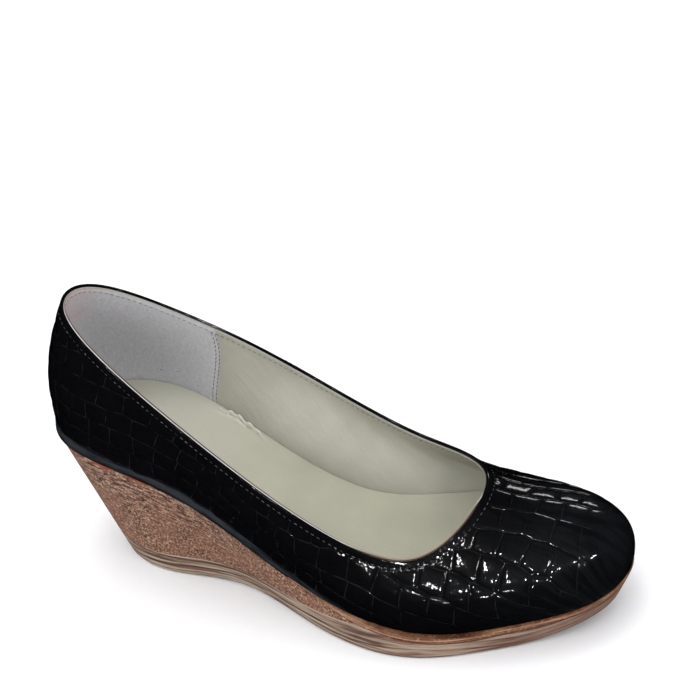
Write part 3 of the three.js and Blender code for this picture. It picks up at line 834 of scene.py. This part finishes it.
# Straight across between the lateral and the medial edge, dished by the square of the distance from the
# middle and rounded down over the last millimetre.
def makeInsole(materials):
    angles = evenTurns(feather, 0.02, np.pi - 0.02, sock["stations"])
    across = np.sin(np.linspace(-np.pi / 2, np.pi / 2, sock["across"]))
    lateral, medial = footbed(angles, -sock["inset"]), footbed(fullTurn - angles, -sock["inset"])
    middle, half = (lateral + medial) / 2, (medial - lateral) / 2
    grid = middle[None] + half[None] * across[:, None, None]
    width = np.linalg.norm(half, axis=-1)[None]
    fromEdge = width * (1 - np.abs(across))[:, None]
    inside = np.clip(1 - fromEdge / sock["edgeRound"], 0, 1)
    top = sock["thickness"] - sock["edgeRound"] * 0.6 * (1 - np.sqrt(1 - inside ** 2))
    dish = sock["dish"] * (1 - across[:, None] ** 2) * ease(-grid[..., 0], -150, -40)
    # the lasting wrinkle: two short ridges beside the medial edge of the waist
    along = (grid[..., 0] - sock["creaseX"]) / sock["creaseLength"]
    bowed = sock["creaseInside"] + 1.2 * along ** 2 + 0.3 * np.sin(grid[..., 0] * 0.6)
    side = (1 - across[:, None]) * width - bowed
    short = np.exp(-along ** 4) * (1 + 0.45 * np.sin(grid[..., 0] * 1.3 + 1))
    ridges = (np.exp(-(side / 0.6) ** 2) + 0.7 * np.exp(-((side - 1.9) / 0.5) ** 2) * (along < 0.3)) * short
    # Painted shade in the dip between the two ridges.
    creaseShadeMask = np.exp(-((side - 1.0) / 0.35) ** 2) * short
    # the edge curls up the wall under the vamp, by the square of the nearness to it
    cup = sock["cup"] * ease(grid[..., 0], *sock["cupX"]) * np.maximum(0, 1 - fromEdge / sock["cupWidth"]) ** 2
    grid[..., 1] += 0.3 * cup * np.sign(across)[:, None]
    grid[..., 2] += top - dish + sock["creaseHeight"] * ridges + cup
    faces, _ = gridFaces(*grid.shape[:2])
    # The heel is painted lighter, as painted light where less light reaches into the heel; the ridges are painted
    # paler, as painted highlight, and the dip darker, as painted shade.
    values = {"paintedHeelLight": 1 - ease(grid[..., 0], 20, 110), "ridge": 0.8 * ridges, "paintedCreaseShade": 0.7 * creaseShadeMask}
    return makePiece("insoleSock", grid, faces[:, ::-1], materials, "insole", None, values)


# Painted light at the heel, painted highlight on the wrinkle's ridges and painted shade between them.
makeInsole([creamMaterial("sockLeather", (0.33, 0.32, 0.25), (0.385, 0.374, 0.29), (
    ("paintedHeelLight", (0.46, 0.452, 0.378)), ("ridge", (0.62, 0.61, 0.53)), ("paintedCreaseShade", (0.16, 0.155, 0.125))))])
print("insole made")

# The sole: a stained rand, a cork wedge and a streaked band
sole = {
    "stations": 720, "bandThickness": 11, "wedgeTip": 0.06, "treadRound": 1.4,
}
lateralTurns = evenTurns(rim, 0, np.pi, sole["stations"] // 2 + 1)
soleTurns = np.concatenate([lateralTurns, fullTurn - lateralTurns[-2:0:-1]])


# A slab: loops of points one above the other, from the underside up, joined by a wall and closed by strips
# across, from each lateral point to its medial partner. The wall's UV is length along it and depth below a
# level line, in tenths of a metre.
def makeSlab(name, turns, loops, materials, node, level=rim, bend=35):
    grid = np.stack(loops)
    rows, columns = grid.shape[:2]
    faces, corners = gridFaces(rows, columns, closed=True)
    lengths = lengthAlong(np.concatenate([grid[-1], grid[-1][:1]]))
    depth = (level(turns)[None] - grid)[..., 2]
    depth = np.concatenate([depth, depth[:, :1]], 1)
    wallUv = np.stack([lengths[corners[..., 1]], depth[corners[..., 0], corners[..., 1]]], -1)
    i = np.arange(columns // 2)
    strips = np.stack([i, i + 1, columns - i - 1, (columns - i) % columns], -1)
    strips = np.concatenate([strips + (rows - 1) * columns, strips[:, ::-1]])
    caps = [list(dict.fromkeys(strip)) for strip in strips.tolist()]
    flat = grid.reshape(-1, 3)
    capUv = flat[np.concatenate(caps)][:, :2]
    uv = np.concatenate([wallUv.reshape(-1, 2), capUv]) / 100
    picks = np.repeat([0, 0, len(materials) - 1], [len(faces), len(i), len(strips) - len(i)])
    slab = makePiece(name, flat, faces.tolist() + caps, materials, node, uv, None, None, bend, picks)
    slab.visible_glossy = False  # the leather above doesn't mirror it


# Rand: from the rim down, with both edges eased
def makeRand(materials):
    away = outward(tread, soleTurns)
    shares = ((1, 0.25), (0.85, 0.03), (0.5, 0.0), (0.15, 0.03), (0, 0.3), (0, 1.5), (0, 4))
    loops = [soleSide(soleTurns, randDepth(soleTurns) * share) - away * inset for share, inset in shares]
    makeSlab("randPlate", soleTurns, loops, materials, "rand")


# The height left for the wedge between the rand and the band, on one side and on the tighter of both sides.
def wedgeRoom(turn):
    return soleHeight(turn) - randDepth(turn) - sole["bandThickness"]


def bothRoom(angle):
    return np.minimum(wedgeRoom(angle), wedgeRoom(fullTurn - angle))


wedgeEnd = lateralTurns[np.argmax((bothRoom(lateralTurns) < sole["wedgeTip"]) & (lateralTurns > 1))]


# The band's depth below the rim: under the wedge, which thins out softly, and past it under the rand.
def bandDepth(turn):
    angle = fromHeel(turn)
    share = ease(bothRoom(angle), 0, 1.2) * (angle < wedgeEnd)
    return randDepth(turn) + np.maximum(0, wedgeRoom(turn)) * share


# Wedge: from the band up to the rand, as far as both sides have room
def makeWedge(materials):
    stations = int(np.argmax(lateralTurns >= wedgeEnd))
    turns = np.concatenate([lateralTurns[:stations], fullTurn - lateralTurns[stations - 1:0:-1]])
    top, bottom = randDepth(turns), bandDepth(turns)
    loops = [soleSide(turns, bottom + (top - bottom) * share) for share in np.linspace(0, 1, 12)]
    makeSlab("wedgeBody", turns, loops, materials, "wedge")


# Outsole: a rounded edge on the tread, then the side up to the rand or the wedge
def makeOutsole(materials):
    loops = []
    for bend in np.radians([90, 70, 50, 30, 10, 0]):
        point = soleSide(soleTurns, soleHeight(soleTurns) - sole["treadRound"] * (1 - np.sin(bend)))
        loops.append(point - outward(tread, soleTurns) * sole["treadRound"] * (1 - np.cos(bend)))
    bottom = soleHeight(soleTurns) - sole["treadRound"]
    top = bandDepth(soleTurns)
    loops += [soleSide(soleTurns, bottom + (top - bottom) * share) for share in (0.25, 0.5, 0.75, 1)]
    makeSlab("outsoleBand", soleTurns, loops, materials, "outsole", tread)


# Patches where the stain ran out at the heel seat, by the length along the lateral side, in decimetres.
seatPatches = ((0.30, 0.0), (0.335, 1.0), (0.385, 1.0), (0.41, 0.0), (0.46, 0.0), (0.49, 1.0),
               (0.565, 1.0), (0.60, 0.0), (0.63, 0.0), (0.665, 1.0), (0.735, 1.0), (0.78, 0.0))


# The stain: over these patches, down to a ragged depth below the rim.
def stainedSeat(tree, along, depth, spot):
    ragged = noise(tree, spot, (260, 260, 260), 3, 0.6)
    edge = math(tree, "ADD", depth, math(tree, "MULTIPLY", ragged, 0.03))
    return math(tree, "MULTIPLY", ramp(tree, along, seatPatches), ramp(tree, edge, ((0.042, 1.0), (0.054, 0.0))))


# Stained leather board: orange-brown with streaks along it and a dark red lower edge at the forefoot. From
# the waist back it is printed like the cork.
def randMaterial():
    material, tree, shader = makeMaterial("stainedBoard", {"Roughness": 0.5, "Specular IOR Level": 0.3})
    skin = skinPlace(tree)
    spot = ownPlace(tree)
    streak = noise(tree, skin, (5, 170, 1), 4, 0.6)
    grain = noise(tree, spot, (900, 900, 900), 3, 0.6)
    colour = ramp(tree, streak, ((0.4, (0.09, 0.028, 0.014)), (0.5, (0.22, 0.092, 0.045)), (0.62, (0.40, 0.215, 0.12))))
    colour = mixColour(tree, ramp(tree, grain, ((0.54, 0.0), (0.66, 0.6))), colour, (0.50, 0.30, 0.17))
    length, depth = (axisOf(tree, skin, axis) for axis in "XY")
    edge = math(tree, "ADD", depth, math(tree, "MULTIPLY", streak, 0.012))
    colour = mixColour(tree, ramp(tree, edge, ((0.0235, 0.0), (0.029, 1.0))), colour, (0.085, 0.022, 0.014))
    cork = ramp(tree, noise(tree, skin, (26, 170, 1), 3, 0.6), (
        (0.38, (0.07, 0.032, 0.018)), (0.5, (0.20, 0.10, 0.062)), (0.64, (0.36, 0.23, 0.155))))
    front = shareOf(tree, axisOf(tree, spot, "X"), -0.05, -0.025)
    colour = mixColour(tree, front, cork, colour)
    stain = stainedSeat(tree, length, depth, spot)
    colour = mixColour(tree, stain, colour, (0.27, 0.055, 0.012))
    dress(tree, shader, colour, bump(tree, streak, 0.4, 0.0003, bump(tree, grain, 0.3, 0.0002)))
    return material


# Printed cork: fine reddish grains everywhere, dark and pale fibres along the seat in the upper part.
def corkMaterial():
    material, tree, shader = makeMaterial("cork", {"Roughness": 0.75, "Specular IOR Level": 0.2})
    skin = skinPlace(tree)
    spot = ownPlace(tree)
    grains = noise(tree, spot, (1050, 1050, 1050), 3, 0.65)
    clouds = noise(tree, spot, (70, 70, 70), 3)
    colour = ramp(tree, grains, (
        (0.37, (0.04, 0.018, 0.012)), (0.47, (0.18, 0.085, 0.053)),
        (0.58, (0.29, 0.165, 0.11)), (0.66, (0.56, 0.40, 0.285))))
    colour = mixColour(tree, ramp(tree, clouds, ((0.35, 0.0), (0.7, 0.4))), colour, (0.27, 0.115, 0.07))
    fibre = noise(tree, skin, (19, 125, 1), 4, 0.62, 0.5)
    length, depth = (axisOf(tree, skin, axis) for axis in "XY")
    upper = ramp(tree, depth, ((0.14, 1.0), (0.30, 0.12)))
    upper = math(tree, "MULTIPLY", upper, shareOf(tree, axisOf(tree, spot, "X"), -0.05, -0.01, 1.0, 0.15))
    dark = math(tree, "MULTIPLY", ramp(tree, fibre, ((0.41, 1.0), (0.48, 0.0))), upper)
    pale = math(tree, "MULTIPLY", ramp(tree, fibre, ((0.54, 0.0), (0.64, 0.85))), upper)
    colour = mixColour(tree, dark, colour, (0.033, 0.016, 0.011))
    colour = mixColour(tree, pale, colour, (0.50, 0.34, 0.24))
    stain = stainedSeat(tree, length, depth, spot)
    colour = mixColour(tree, stain, colour, (0.27, 0.055, 0.012))
    rough = math(tree, "ADD", grains, math(tree, "MULTIPLY", fibre, upper))
    dress(tree, shader, colour, bump(tree, rough, 0.7, 0.0006))
    return material


# Printed board: long streaks of grey-brown, red-brown and dark lines, redder at the toe.
def bandMaterial():
    material, tree, shader = makeMaterial("streakedBoard", {"Roughness": 0.6, "Specular IOR Level": 0.25})
    spot = ownPlace(tree)
    skin = skinPlace(tree)
    height = noise(tree, skin, (1.3, 34, 1), 3, 0.6, 0.15)
    fine = noise(tree, skin, (3, 80, 1), 3, 0.6)
    colour = ramp(tree, height, (
        (0.36, (0.105, 0.05, 0.033)), (0.44, (0.20, 0.11, 0.075)), (0.52, (0.34, 0.275, 0.205)),
        (0.60, (0.26, 0.165, 0.115)), (0.68, (0.15, 0.06, 0.04))))
    colour = mixColour(tree, ramp(tree, fine, ((0.4, 0.9), (0.495, 0.0))), colour, (0.06, 0.03, 0.02))
    colour = mixColour(tree, ramp(tree, fine, ((0.53, 0.0), (0.62, 0.7))), colour, (0.46, 0.385, 0.30))
    toe = shareOf(tree, axisOf(tree, spot, "X"), 0.0, 0.11, 0.0, 0.45)
    colour = mixColour(tree, toe, colour, (0.20, 0.085, 0.06))
    dress(tree, shader, colour, bump(tree, fine, 0.5, 0.0004, bump(tree, height, 0.4, 0.0006)))
    return material


# Tread rubber: low ribs across the shoe, broken by a fine grain.
def treadMaterial():
    material, tree, shader = makeMaterial("treadRubber", {"Roughness": 0.7, "Specular IOR Level": 0.3})
    spot = ownPlace(tree)
    ribs = addNode(tree, "TexWave", {"Vector": spot, "Scale": 60.0, "Distortion": 1.5, "Detail": 1.0},
                   wave_type="BANDS", bands_direction="X").outputs["Fac"]
    grain = noise(tree, spot, (900, 900, 900), 3)
    colour = ramp(tree, grain, ((0.3, (0.11, 0.07, 0.05)), (0.7, (0.17, 0.115, 0.085))))
    dress(tree, shader, colour, bump(tree, grain, 0.3, 0.0002, bump(tree, ribs, 0.8, 0.0008)))
    return material


streakedBoard = bandMaterial()
makeRand([randMaterial()])
makeWedge([corkMaterial()])
makeOutsole([streakedBoard, treadMaterial()])
print("sole made")

# Stitches: each is a small spindle of thread
thread = {
    "length": 1.6, "width": 0.55, "innerWidth": 0.4, "sink": 0.14, "rings": 5, "sides": 6,
    "liningDrop": 1.9, "gripRows": (0.978, 0.995), "gripSpan": (0.93, 0.05), "gripCount": 18,
    "seamSpan": (0.93, 0.08), "seamCount": 14,
}


# A spindle's rings shrink to its ends by the sine of their place; each stitch puts its spindle on a spot,
# along a direction and square to a normal.
def makeStitches(name, spots, along, normals, materials, width=thread["width"]):
    along = unit(along)
    across = unit(np.cross(normals, along))
    normals = np.cross(along, across)
    rings = np.linspace(0.08, np.pi - 0.08, thread["rings"])[:, None]
    around = (np.arange(thread["sides"]) * fullTurn / thread["sides"])[None, :]
    run = (-np.cos(rings) + 0 * around) * thread["length"] / 2
    radius = np.sin(rings) ** 0.6 * width / 2
    side, up = radius * np.cos(around), radius * np.sin(around)
    points = (spots[:, None, None] + along[:, None, None] * run[..., None] + across[:, None, None] * side[..., None]
              + normals[:, None, None] * up[..., None])
    faces, _ = gridFaces(thread["rings"], thread["sides"], closed=True)
    ends = np.arange(thread["sides"])
    perStitch = thread["rings"] * thread["sides"]
    offsets = np.arange(len(spots))[:, None, None] * perStitch
    quads = (faces[None] + offsets).reshape(-1, 4)
    farEnds = ends[::-1] + perStitch - thread["sides"]
    caps = np.concatenate([ends[None, None] + offsets, farEnds[None, None] + offsets]).reshape(-1, thread["sides"])
    return makePiece(name, points, quads[:, ::-1].tolist() + caps.tolist(), materials)


# The height on the face that lies a distance below the topline: the step is scaled until its chord fits.
def heightBelow(turn, drop):
    step = np.full_like(turn, 0.05)
    for _ in range(4):
        step = step * drop / np.linalg.norm(face(turn, np.ones_like(turn)) - face(turn, 1 - step), axis=-1)
    return 1 - step


def makeAllStitches(black, pale):
    # round the topline outside, from the seam to the seam
    turns = stitchTurns()
    height = heightBelow(turns, patent["stitchDrop"])
    place = slanted(turns, height)
    lift = seamLift(turns, height) * (turns > fullTurn) - patent["stitchDitch"] + thread["sink"]
    spots = face(place, height) + faceNormal(place, height) * lift[..., None]
    along = face(place + 0.01, height) - face(place - 0.01, height)
    makeStitches("toplineStitches", spots, along, faceNormal(place, height), black)
    # round the topline inside
    turns = evenTurns(topline, 0.01, fullTurn - 0.01, len(turns))
    height = heightBelow(turns, thread["liningDrop"])
    spots = innerFace(turns, height, last["wall"] + np.where(np.cos(turns) > 0.35, 0.32, 0.02))
    along = face(turns + 0.01, height) - face(turns - 0.01, height)
    makeStitches("liningStitches", spots, along, -faceNormal(turns, height), pale, thread["innerWidth"])
    # down both front edges of the grip
    heights = np.linspace(*thread["gripSpan"], thread["gripCount"])
    rows = [np.stack([(side * share * gripReach(heights)) % fullTurn, heights], -1)
            for side in (-1, 1) for share in thread["gripRows"]]
    turns, heights = np.concatenate(rows).T
    spots = innerFace(turns, heights, last["wall"] + lining["gripProud"] + 0.02)
    along = face(turns, heights + 0.01) - face(turns, heights - 0.01)
    makeStitches("gripStitches", spots, along, -faceNormal(turns, heights), pale, thread["innerWidth"])
    # down the seam, two rows
    heights = np.tile(np.linspace(*thread["seamSpan"], thread["seamCount"]), len(patent["seamRows"]))
    turns = seamMiddle + fullTurn - np.repeat(patent["seamRows"], thread["seamCount"]) / patent["seamRadian"]
    place = slanted(turns, heights)
    lift = seamLift(turns, heights) - patent["stitchDitch"] + thread["sink"]
    spots = face(place, heights) + faceNormal(place, heights) * lift[..., None]
    above, under = slanted(turns, heights + 0.01), slanted(turns, heights - 0.01)
    along = face(above, heights + 0.01) - face(under, heights - 0.01)
    makeStitches("seamStitches", spots, along, faceNormal(place, heights), black)


# Waxed thread: fine strands twist round it. Some stitches are darker than others, by a noise.
def threadMaterial(name, colour, roughness, darkest):
    material, tree, shader = makeMaterial(name, {"Roughness": roughness, "Specular IOR Level": 0.5})
    spot = ownPlace(tree)
    strand = noise(tree, spot, (3000, 3000, 3000), 2)
    dark = tuple(part * 0.6 for part in colour)
    tone = ramp(tree, strand, ((0.35, dark), (0.65, colour)))
    stitchDarkening = ramp(tree, noise(tree, spot, (240, 240, 240), 2), ((0.42, darkest), (0.62, 1.0)))
    dress(tree, shader, mixColour(tree, 1.0, tone, stitchDarkening, "MULTIPLY"), bump(tree, strand, 0.5, 0.0002))
    return material


# The black thread is painted dark grey rather than black, partly as painted highlight for its glints; the pale thread
# is painted grey, darker than the lining, partly as painted shade in the stitch holes.
makeAllStitches([threadMaterial("blackThread", (0.06, 0.06, 0.064), 0.3, 0.12)],
                [threadMaterial("paleThread", (0.27, 0.26, 0.225), 0.7, 0.75)])
print("stitches made")

# The studio: a pale floor, soft lamps that only light, and small lamps that show in the patent leather
studio = {
    "floorHalf": 6.0, "floorDrop": 0.0001, "floorFade": (1.6, 5.0),
    "floorColour": (0.86, 0.86, 0.87), "worldColour": (0.9, 0.91, 0.93),
    "softLamps": (  # place, size, watts
        ((-0.5, -0.9, 1.4), 1.6, 12), ((0.9, -0.2, 1.3), 1.4, 5), ((0.0, 0.9, 1.5), 1.6, 5),
        ((-0.2, 0.05, 1.7), 0.6, 5),
    ),
    "glossLamps": (  # place, width, length, watts
        ((-0.05, -0.32, 1.2), 0.03, 0.03, 2.0), ((0.12, -0.52, 1.1), 0.03, 0.03, 2.0),
        ((0.42, -0.45, 1.05), 0.03, 0.03, 2.5), ((0.64, -0.2, 1.0), 0.03, 0.03, 2.0),
        ((0.3, -0.85, 0.8), 0.03, 0.03, 1.5), ((-0.45, -0.65, 0.9), 0.03, 0.03, 0.6),
        ((0.9, -0.15, 0.95), 0.03, 0.03, 1.5),
        ((0.0, 1.16, 0.36), 0.22, 0.12, 0.6), ((0.1, 0.1, 1.6), 1.2, 1.0, 0.35),
    ),
}


# A wide square of floor that the leather doesn't mirror. Far from the shoe it turns black and glows in the
# world's colour instead of being lit, so it fades into the backdrop.
def makeFloor():
    material, tree, shader = makeMaterial("paleFloor", {"Roughness": 0.9, "Specular IOR Level": 0.1})
    spot = ownPlace(tree)
    grain = noise(tree, spot, (300, 300, 300), 3)
    low = tuple(part * 0.985 for part in studio["floorColour"])
    away = addNode(tree, "VectorMath", {0: spot}, operation="LENGTH").outputs["Value"]
    far = shareOf(tree, away, *studio["floorFade"], interpolation_type="SMOOTHSTEP")
    pale = ramp(tree, grain, ((0.3, low), (0.7, studio["floorColour"])))
    tree.links.new(mixColour(tree, far, pale, (0, 0, 0)), shader.inputs["Base Color"])
    tree.links.new(far, shader.inputs["Emission Strength"])
    shader.inputs["Emission Color"].default_value = (*studio["worldColour"], 1)
    half, z = studio["floorHalf"], -studio["floorDrop"]
    mesh = bpy.data.meshes.new("floor")
    mesh.from_pydata([(-half, -half, z), (half, -half, z), (half, half, z), (-half, half, z)], [], [(0, 1, 2, 3)])
    mesh.materials.append(material)
    floor = addObject("floor", mesh)
    floor.visible_glossy = False


# Each lamp faces the shoe: its minus z axis points from its place to just above the floor's middle.
def makeLamp(name, place, width, length, watts, glossy):
    data = bpy.data.lights.new(name, "AREA")
    data.shape = "RECTANGLE"
    data.size, data.size_y = width, length
    data.energy = watts
    place = np.array(place, float)
    back = unit(place - (0, 0, 0.05))
    right = unit(np.cross((0, 0, 1), back))
    lamp = addObject(name, data)
    lamp.matrix_world = turnedTo(right, np.cross(back, right), back, place)
    lamp.visible_glossy = glossy
    lamp.visible_diffuse = not glossy


def makeStudio():
    makeFloor()
    for i, (place, size, watts) in enumerate(studio["softLamps"]):
        makeLamp(f"softLamp{i}", place, size, size, watts, False)
    for i, (place, width, length, watts) in enumerate(studio["glossLamps"]):
        makeLamp(f"glossLamp{i}", place, width, length, watts, True)
    world = bpy.data.worlds.new("studio")
    world.use_nodes = True
    world.node_tree.nodes["Background"].inputs["Color"].default_value = (*studio["worldColour"], 1)
    world.cycles_visibility.glossy = False
    bpy.context.scene.world = world
    bpy.context.scene.view_settings.view_transform = "Standard"


makeStudio()
print("studio made")
